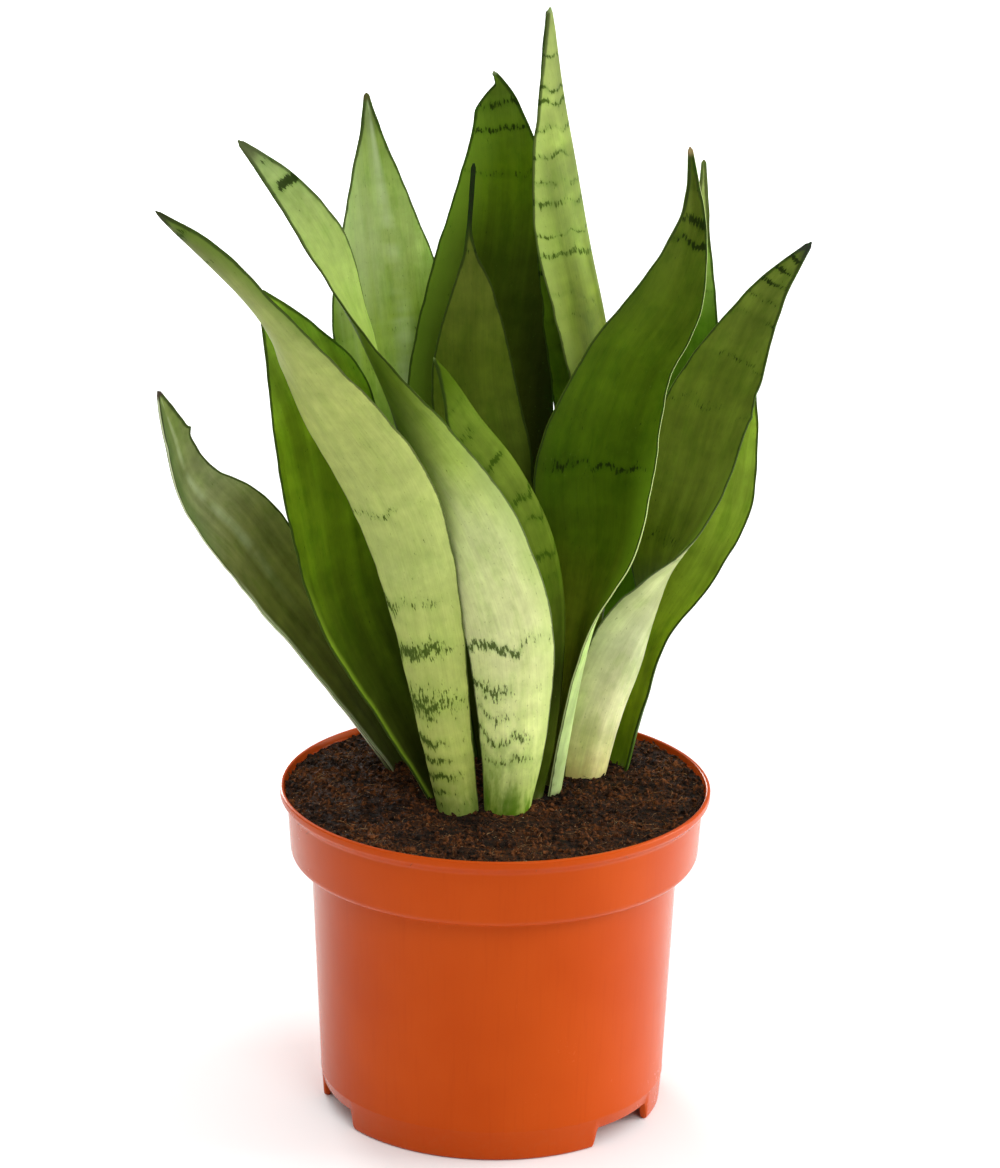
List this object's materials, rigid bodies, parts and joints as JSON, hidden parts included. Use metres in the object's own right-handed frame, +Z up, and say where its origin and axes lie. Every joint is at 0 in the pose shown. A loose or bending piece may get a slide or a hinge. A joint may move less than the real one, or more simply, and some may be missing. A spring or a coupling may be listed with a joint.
{
  "type": "potted snake plant",
  "caption": "Upright snake plant with broad pointed leaves, silvery green outside and dark green inside, growing from soil in a round terracotta-coloured nursery pot that stands on its feet.",
  "frame": {"origin": "on the pot's axis, at the level that its feet stand on", "axes": "+Z up along the pot's axis; -Y towards the viewer of the picture, +X to that viewer's right"},
  "size_m": [0.1781, 0.1215, 0.3091],
  "materials": {
    "pot_plastic": "smooth injection-moulded terracotta-orange plastic, satin to glossy",
    "potting_soil": "dark brown peat and coir with crumbs and short fibres, matt",
    "leaf_silver_green": "waxy pale silvery green with faint dark crossbands, satin",
    "leaf_dark_green": "waxy deep green with darker crossbands, satin",
    "leaf_grey_green": "waxy greyish green, satin"
  },
  "bodies": {
    "root": {"pot": "pot_plastic", "soil": "potting_soil", "leaf_low_left": "leaf_grey_green", "leaf_left_inner": "leaf_dark_green", "leaf_front_left": "leaf_silver_green", "leaf_front_middle": "leaf_silver_green", "leaf_back_left": "leaf_grey_green", "leaf_back_middle": "leaf_dark_green", "leaf_slender": "leaf_dark_green", "leaf_tallest": "leaf_silver_green", "leaf_right_dark": "leaf_dark_green", "leaf_small_folded": "leaf_silver_green", "leaf_far_right": "leaf_dark_green", "leaf_right_green": "leaf_dark_green", "leaf_back_right": "leaf_grey_green"}
  },
  "joints": []
}
